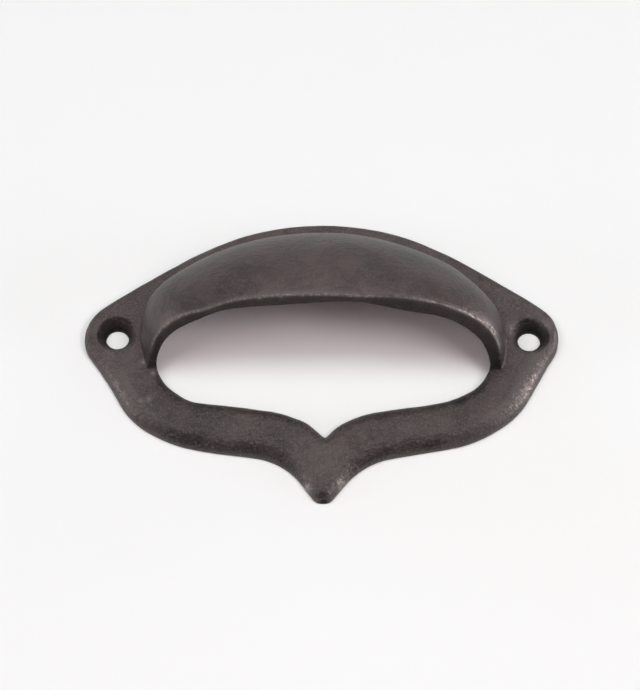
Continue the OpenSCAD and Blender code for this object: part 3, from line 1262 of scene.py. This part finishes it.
    def cut_holes(self, body: bpy.types.Object) -> None:
        """Cut both countersunk holes.

        Args:
            body: The casting, whose mesh is replaced by the cut one.
        """
        cutters = [self.hole_cutter(side) for side in (-1, 1)]
        for cutter in cutters:
            cut = body.modifiers.new("hole", "BOOLEAN")
            cut.operation, cut.solver, cut.object = "DIFFERENCE", "EXACT", cutter
        graph = bpy.context.evaluated_depsgraph_get()
        mesh = bpy.data.meshes.new_from_object(body.evaluated_get(graph))
        body.modifiers.clear()
        body.data = mesh
        for cutter in cutters:
            bpy.data.objects.remove(cutter)
        self.drop_idle_points(mesh)

    @staticmethod
    def drop_idle_points(mesh: bpy.types.Mesh) -> None:
        """Take out the points that cutting the holes left in the middle of an edge.

        Args:
            mesh: The cut casting.
        """
        shape = bmesh.new()
        shape.from_mesh(mesh)
        idle = [point for point in shape.verts if len(point.link_edges) == 2]
        bmesh.ops.dissolve_verts(shape, verts=idle)
        shape.to_mesh(mesh)
        shape.free()

    @staticmethod
    def point_tree(mesh: bpy.types.Mesh) -> KDTree:
        """Sort a mesh's points by place, so that the nearest is soon found.

        Args:
            mesh: The casting before its holes are cut.

        Returns:
            The sorted points.
        """
        tree = KDTree(len(mesh.vertices))
        for point in mesh.vertices:
            tree.insert(point.co, point.index)
        tree.balance()
        return tree

    def build(self) -> bpy.types.Object:
        """Make the whole casting with both holes.

        Returns:
            The finished object, with two point attributes: how rubbed and highlighted
            each point is, and how much painted shade it gets.
        """
        body, skins = self.shell()
        tree = self.point_tree(body.data)
        self.cut_holes(body)
        mesh = body.data
        mesh.name = "pull, cast iron"
        mesh.polygons.foreach_set("use_smooth", [True] * len(mesh.polygons))
        mesh.set_sharp_from_angle(angle=math.radians(self.sharp_angle))
        nearest = [tree.find(v.co)[1] for v in mesh.vertices]
        in_hole = [self.in_hole(v.co / MM) for v in mesh.vertices]
        for name, skin in skins.items():
            attribute = mesh.attributes.new(name, "FLOAT", "POINT")
            # The countersinks get full painted shade and no wear.
            bored = 1.0 if name == "matt_and_painted_shade" else 0.0
            values = [bored if h else skin[k] for k, h in zip(nearest, in_hole)]
            attribute.data.foreach_set("value", values)
        mesh.materials.clear()
        mesh.materials.append(BlackenedIron().material())
        return body

    def in_hole(self, place: Vector) -> bool:
        """Tell whether a point lies on a countersunk hole.

        Args:
            place: The point, in millimetres.

        Returns:
            Whether it does.
        """
        z = self.size
        out = math.hypot(abs(place.x) - z.hole_spacing / 2, place.y)
        return out < z.sink_d / 2 - 0.15


# Finishes


Socket = bpy.types.NodeSocket


def add_node(
    tree: bpy.types.NodeTree,
    kind: str,
    values: dict[str | int, object] | None = None,
    links: dict[str | int, Socket] | None = None,
    **settings: object,
) -> bpy.types.Node:
    """Add a node with its settings, socket values and incoming links.

    Args:
        tree: Node tree that gets the node.
        kind: Type name of the node.
        values: Socket name or number to value.
        links: Socket name or number to the output that feeds it.
        settings: Properties of the node itself.

    Returns:
        The new node.
    """
    node = tree.nodes.new(kind)
    for name, value in settings.items():
        setattr(node, name, value)
    for key, value in (values or {}).items():
        node.inputs[key].default_value = value
    for key, source in (links or {}).items():
        tree.links.new(source, node.inputs[key])
    return node


def empty_material(name: str) -> bpy.types.Material:
    """Start a material.

    Args:
        name: What the material is and how its surface was made.

    Returns:
        A material with an empty node tree.
    """
    mat = bpy.data.materials.new(name)
    mat.use_nodes = True
    mat.node_tree.nodes.clear()
    return mat


@dataclass(frozen=True)
class BlackenedIron:
    """Sand-cast iron, blackened all over and waxed, rubbed on its edges."""

    dark: str = "211c1c"
    light: str = "3b3231"
    dust: str = "5d5957"
    bare: str = "a59f9a"
    # Painted shade: the darker colour of the rim face, the inside, the countersinks and the deep
    # pits.
    shade_colour: str = "1c1716"
    oxide: str = "fff0ee"
    roughness: float = 0.47
    matt_roughness: float = 0.2
    sheen: float = 0.5
    matt_sheen: float = 0.2
    tops_share: float = 0.6
    # How much greyer rubbed skin gets, partly as wear and partly as painted highlight.
    rub_and_highlight_share: float = 0.7
    bare_share: float = 0.85
    grain_size: float = 0.45
    dimple_size: float = 1.1
    dimple_share: float = 1.6
    grain_height: float = 0.15
    hood_grain: float = 0.65
    rim_grain: float = 0.8
    hood_from: tuple[float, float] = (3.6, 6.0)
    cloud_size: float = 7.0
    fleck_size: float = 0.55

    def material(self) -> bpy.types.Material:
        """Return the finish as a material.

        Returns:
            The material, which reads two attributes: wear with painted highlight, and painted
                shade.
        """
        # The sand gives grain and dimples, the blackening a brownish black that is
        # clouded where it took unevenly, and the wax a soft sheen.
        mat = empty_material("blackened iron, sand-cast and waxed")
        tree = mat.node_tree
        place = add_node(tree, "ShaderNodeTexCoord").outputs["Object"]
        # How rubbed the skin is, with its painted highlight.
        rubbed = add_node(tree, "ShaderNodeAttribute", attribute_name="wear_and_highlight").outputs["Fac"]
        # Where painted shade lies.
        matt_and_painted_shade = add_node(tree, "ShaderNodeAttribute", attribute_name="matt_and_painted_shade").outputs["Fac"]
        # The real sand grain is finer, but would fall between the picture's dots.
        grain = add_node(
            tree,
            "ShaderNodeTexNoise",
            {"Scale": 1 / (self.grain_size * MM), "Detail": 2.0, "Roughness": 0.6},
            {"Vector": place},
        ).outputs["Fac"]
        # The hood came out of the mould smoother than the plate.
        height = add_node(tree, "ShaderNodeSeparateXYZ", links={0: place}).outputs["Z"]
        low, high = self.hood_from
        plate = add_node(
            tree,
            "ShaderNodeMapRange",
            {"From Min": low * MM, "From Max": high * MM, "To Min": 1.0, "To Max": self.hood_grain},
            {"Value": height},
        ).outputs["Result"]
        skin = self.skin_colour(tree, place, grain, plate)
        colour, bared = self.rubbed_and_highlight_colour(tree, place, rubbed, skin)
        # Rim, inside, countersinks and deep pits get painted shade: a darker, matt black.
        shaded = add_node(
            tree,
            "ShaderNodeMix",
            {"B": linear(self.shade_colour)},
            {"Factor": matt_and_painted_shade, "A": colour},
            data_type="RGBA",
        )
        sheen, rough = self.gloss(tree, grain, matt_and_painted_shade)
        shader = add_node(
            tree,
            "ShaderNodeBsdfPrincipled",
            # The oxide under the wax warms what it reflects.
            {"Specular Tint": linear(self.oxide)},
            {
                "Base Color": shaded.outputs["Result"],
                "Roughness": rough,
                "Specular IOR Level": sheen,
                "Metallic": bared,
                "Normal": self.relief(tree, place, grain, plate, matt_and_painted_shade),
            },
        )
        add_node(tree, "ShaderNodeOutputMaterial", links={"Surface": shader.outputs[0]})
        return mat

    def relief(
        self, tree: bpy.types.NodeTree, place: Socket, grain: Socket, plate: Socket, matt_and_painted_shade: Socket
    ) -> Socket:
        """Raise the grain and sink the dimples.

        Args:
            tree: Node tree of the finish.
            place: Place on the pull.
            grain: Pattern of the sand grain.
            plate: 1 on the plate, less on the smoother hood.
            matt_and_painted_shade: How much painted shade, matt finish and coarser grain the skin
                gets.

        Returns:
            The direction that the skin faces.
        """
        # Dimples of about a millimetre, where sand broke away from the mould
        dimple = add_node(
            tree,
            "ShaderNodeTexNoise",
            {"Scale": 1 / (self.dimple_size * MM), "Detail": 1.0, "Roughness": 0.5},
            {"Vector": place},
        ).outputs["Fac"]
        height = add_node(
            tree,
            "ShaderNodeMath",
            {1: self.dimple_share},
            {0: dimple, 2: grain},
            operation="MULTIPLY_ADD",
        ).outputs[0]
        # Nobody smoothed the rim: its grain stands up more than the rest.
        coarse = add_node(
            tree,
            "ShaderNodeMath",
            {1: self.rim_grain},
            {0: matt_and_painted_shade, 2: plate},
            operation="MULTIPLY_ADD",
        ).outputs[0]
        return add_node(
            tree,
            "ShaderNodeBump",
            {"Distance": self.grain_height * MM},
            {"Height": height, "Strength": coarse},
        ).outputs["Normal"]

    def skin_colour(
        self, tree: bpy.types.NodeTree, place: Socket, grain: Socket, plate: Socket
    ) -> Socket:
        """Colour the blackened skin as it left the maker.

        Args:
            tree: Node tree of the finish.
            place: Place on the pull.
            grain: Pattern of the sand grain.
            plate: 1 on the plate, less on the smoother hood.

        Returns:
            The colour.
        """
        # Brown and grey clouds, 7 mm and more across, where the wax took unevenly
        cloud = add_node(
            tree,
            "ShaderNodeTexNoise",
            {"Scale": 1 / (self.cloud_size * MM), "Detail": 4.0, "Roughness": 0.7},
            {"Vector": place},
        ).outputs["Fac"]
        tone = add_node(
            tree,
            "ShaderNodeMapRange",
            {"From Min": 0.38, "From Max": 0.62},
            {"Value": cloud},
        ).outputs["Result"]
        skin = add_node(
            tree,
            "ShaderNodeMix",
            {"A": linear(self.dark), "B": linear(self.light)},
            {"Factor": tone},
            data_type="RGBA",
        )
        # The tops of the grain are a little lighter than the pits.
        tops = add_node(
            tree,
            "ShaderNodeMapRange",
            {"From Min": 0.5, "From Max": 0.72, "To Max": self.tops_share},
            {"Value": grain},
        ).outputs["Result"]
        salted = add_node(
            tree,
            "ShaderNodeMath",
            links={0: tops, 1: plate},
            operation="MULTIPLY",
        ).outputs[0]
        return add_node(
            tree,
            "ShaderNodeMix",
            {"B": linear(self.dust)},
            {"Factor": salted, "A": skin.outputs["Result"]},
            data_type="RGBA",
        ).outputs["Result"]

    def rubbed_and_highlight_colour(
        self, tree: bpy.types.NodeTree, place: Socket, rubbed: Socket, skin: Socket
    ) -> tuple[Socket, Socket]:
        """Rub the skin grey, partly as wear and partly as painted highlight, and to bare metal
        where it is rubbed most.

        Args:
            tree: Node tree of the finish.
            place: Place on the pull.
            rubbed: How rubbed the skin is, and how much painted highlight it gets.
            skin: Colour of the untouched skin.

        Returns:
            The colour, and how bare the metal is.
        """
        # Hands have polished the flanks, the point and the lip: there the skin is greyer, partly as
        # wear and partly as painted highlight.
        greying = add_node(
            tree,
            "ShaderNodeMath",
            {1: self.rub_and_highlight_share},
            {0: rubbed},
            operation="MULTIPLY",
        ).outputs[0]
        greyer = add_node(
            tree,
            "ShaderNodeMix",
            {"B": linear(self.dust)},
            {"Factor": greying, "A": skin},
            data_type="RGBA",
        )
        # Bare metal shows in flecks, where rubbed skin and the high spots of a noise meet.
        fleck = add_node(
            tree,
            "ShaderNodeTexNoise",
            {"Scale": 1 / (self.fleck_size * MM), "Detail": 3.0, "Roughness": 0.75},
            {"Vector": place},
        ).outputs["Fac"]
        both = add_node(
            tree,
            "ShaderNodeMath",
            {1: 0.5},
            {0: rubbed, 2: fleck},
            operation="MULTIPLY_ADD",
        ).outputs[0]
        bared = add_node(
            tree,
            "ShaderNodeMapRange",
            {"From Min": 0.9, "From Max": 1.2, "To Max": self.bare_share},
            {"Value": both},
        ).outputs["Result"]
        colour = add_node(
            tree,
            "ShaderNodeMix",
            {"B": linear(self.bare)},
            {"Factor": bared, "A": greyer.outputs["Result"]},
            data_type="RGBA",
        )
        return colour.outputs["Result"], bared

    def gloss(
        self, tree: bpy.types.NodeTree, grain: Socket, matt_and_painted_shade: Socket
    ) -> tuple[Socket, Socket]:
        """Set the soft sheen of the wax, which is lower and rougher where painted shade lies.

        Args:
            tree: Node tree of the finish.
            grain: Pattern of the sand grain.
            matt_and_painted_shade: Where painted shade lies, and how matt the skin is there.

        Returns:
            The specular level and the roughness.
        """
        sheen = add_node(
            tree,
            "ShaderNodeMapRange",
            {"To Min": self.sheen, "To Max": self.matt_sheen},
            {"Value": matt_and_painted_shade},
        ).outputs["Result"]
        smooth_top, rough_pit = self.roughness - 0.06, self.roughness + 0.08
        rough = add_node(
            tree,
            "ShaderNodeMapRange",
            {"From Min": 0.3, "From Max": 0.7, "To Min": smooth_top, "To Max": rough_pit},
            {"Value": grain},
        ).outputs["Result"]
        dull = add_node(
            tree,
            "ShaderNodeMath",
            {1: self.matt_roughness},
            {0: matt_and_painted_shade, 2: rough},
            operation="MULTIPLY_ADD",
        ).outputs[0]
        return sheen, dull


@dataclass(frozen=True)
class PaperSweep:
    """White background paper, a little warm."""

    colour: str = "f6f5f4"

    def material(self) -> bpy.types.Material:
        """Return the finish as a material.

        Returns:
            The material.
        """
        # Matt paper has no gloss: an even white that keeps the pull's soft shadow.
        mat = empty_material("white paper, matt")
        tree = mat.node_tree
        shader = add_node(tree, "ShaderNodeBsdfDiffuse", {"Color": linear(self.colour)})
        add_node(tree, "ShaderNodeOutputMaterial", links={"Surface": shader.outputs[0]})
        return mat


# Studio


class LampUse(Enum):
    """What a lamp of the studio is there for."""

    LIGHT = "lights the paper and the iron"
    CARD = "is only seen as a reflection in the iron"


@dataclass(frozen=True)
class Softbox:
    """One lamp of the studio: a lit rectangle that looks at the pull."""

    name: str
    place: tuple[float, float, float]
    width: float
    height: float
    power: float
    use: LampUse = LampUse.LIGHT
    colour: tuple[float, float, float] = (1.0, 1.0, 1.0)
    aim: tuple[float, float, float] = (0.0, 0.0, 0.0)

    def build(self) -> None:
        """Make the lamp and hang it."""
        data = bpy.data.lights.new(self.name, "AREA")
        data.shape = "RECTANGLE"
        data.size, data.size_y = self.width, self.height
        data.energy, data.color = self.power, self.colour
        lamp = bpy.data.objects.new(self.name, data)
        bpy.context.collection.objects.link(lamp)
        lamp.location = self.place
        way = Vector(self.aim) - Vector(self.place)
        lamp.rotation_euler = way.to_track_quat("-Z", "Y").to_euler()
        lamp.visible_glossy = self.use is LampUse.CARD
        lamp.visible_diffuse = self.use is LampUse.LIGHT


@dataclass(frozen=True)
class Studio:
    """Floor, lamps and camera round the pull.

    Angles are in degrees and lengths in metres, but for the gap in millimetres.
    """

    elevation: float = 60.0
    distance: float = 0.6
    sensor: float = 36.0
    dots_per_mm: float = 4.62
    picture: tuple[int, int] = (640, 690)
    origin_at: tuple[float, float] = (323.25, 342.6)
    roll: float = 0.26
    floor_size: float = 4.0
    floor_gap: float = 0.01
    world: tuple[float, float, float] = (0.004, 0.004, 0.004)

    def floor(self) -> None:
        """Lay out the paper that the pull lies on."""
        h = self.floor_size / 2
        # A hair below the pull's back, so that the two don't flicker
        low = -self.floor_gap * MM
        corners = [(-h, -h, low), (h, -h, low), (h, h, low), (-h, h, low)]
        mesh = bpy.data.meshes.new("paper")
        mesh.from_pydata(corners, [], [(0, 1, 2, 3)])
        mesh.materials.append(PaperSweep().material())
        floor = bpy.data.objects.new("paper", mesh)
        bpy.context.collection.objects.link(floor)

    def camera(self) -> None:
        """Set up the camera as the photograph was taken."""
        wide, high = self.picture
        data = bpy.data.cameras.new("camera")
        data.sensor_fit = "HORIZONTAL"
        data.sensor_width = self.sensor
        data.lens = self.dots_per_mm / MM * self.distance * data.sensor_width / wide
        data.clip_start, data.clip_end = 0.01, 20.0
        e = math.radians(self.elevation)
        right = Vector((1, 0, 0))
        up = Vector((0, math.sin(e), math.cos(e)))
        back = Vector((0, -math.cos(e), math.sin(e)))
        dx = (self.origin_at[0] - wide / 2) / self.dots_per_mm * MM
        dy = (high / 2 - self.origin_at[1]) / self.dots_per_mm * MM
        target = -right * dx - up * dy
        basis = Matrix((right, up, back)).transposed()
        spin = Matrix.Rotation(math.radians(self.roll), 3, "Z")
        camera = bpy.data.objects.new("camera", data)
        bpy.context.collection.objects.link(camera)
        stand = Matrix.Translation(target + back * self.distance)
        camera.matrix_world = stand @ (basis @ spin).to_4x4()
        bpy.context.scene.camera = camera

    def lamps(self) -> None:
        """Hang the lamps: lights for paper and iron, cards for the iron's sheen."""
        light, card = LampUse.LIGHT, LampUse.CARD
        pink, rosy, peach = (1.0, 0.74, 0.79), (1.0, 0.82, 0.82), (1.0, 0.89, 0.91)
        green, blue, cool = (0.86, 1.0, 0.97), (0.71, 0.72, 1.0), (0.75, 0.87, 1.0)
        cream, warm = (1.0, 0.98, 0.96), (1.0, 0.86, 0.86)
        boxes = [
            Softbox("overhead light", (0, -0.05, 1.2), 0.4, 0.4, 2.69, light, cream),
            Softbox("upper back light", (0, 0.12, 1.2), 0.4, 0.4, 3.49, light, green),
            Softbox("front light", (0, -0.8, 0.8), 0.7, 0.5, 1.27, light, pink),
            Softbox("left front light", (-0.55, -0.4, 1.0), 0.4, 0.4, 1.98, light, rosy),
            Softbox("right front light", (0.55, -0.4, 1.0), 0.4, 0.4, 4.25, light, peach),
            Softbox("upper left light", (-0.6, 0.1, 1.0), 0.4, 0.5, 1.66, light, green),
            Softbox("upper right light", (0.6, 0.1, 1.0), 0.4, 0.5, 0.91, light, green),
            Softbox("low left light", (-1.1, -0.25, 0.3), 0.4, 0.4, 2.01, light, cool),
            Softbox("low right light", (1.1, -0.25, 0.3), 0.4, 0.4, 2.4, light, cool),
            Softbox("left back light", (-0.8, 0.8, 0.3), 0.5, 0.5, 1.73, light, blue),
            Softbox("right back light", (0.8, 0.8, 0.3), 0.5, 0.5, 1.29, light, green),
            Softbox("top card", (0, 0.55, 1.0), 0.8, 0.5, 6.4, card),
            Softbox("back card", (0, 1.1, 0.38), 1.5, 0.7, 3.5, card, warm),
            Softbox("left card", (-1.0, 0.2, 0.35), 0.4, 0.5, 5.9, card, warm),
            Softbox("right card", (1.0, 0.2, 0.35), 0.4, 0.5, 10.8, card, warm),
        ]
        for box in boxes:
            box.build()

    def surroundings(self) -> None:
        """Fill the rest of the room with a dim grey light."""
        world = bpy.data.worlds.new("room")
        world.use_nodes = True
        ground = world.node_tree.nodes["Background"]
        ground.inputs["Color"].default_value = (*self.world, 1.0)
        ground.inputs["Strength"].default_value = 1.0
        bpy.context.scene.world = world
        bpy.context.scene.view_settings.view_transform = "Standard"


def main() -> None:
    """Build the pull and its surroundings."""
    logging.basicConfig(level=logging.INFO, format="%(name)s: %(message)s")
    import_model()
    pull = Casting().build()
    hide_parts(NODE)
    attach(pull, BODY)
    log.info("pull: %d faces", len(pull.data.polygons))
    studio = Studio()
    studio.floor()
    studio.camera()
    studio.lamps()
    studio.surroundings()


if __name__ == "__main__":
    main()
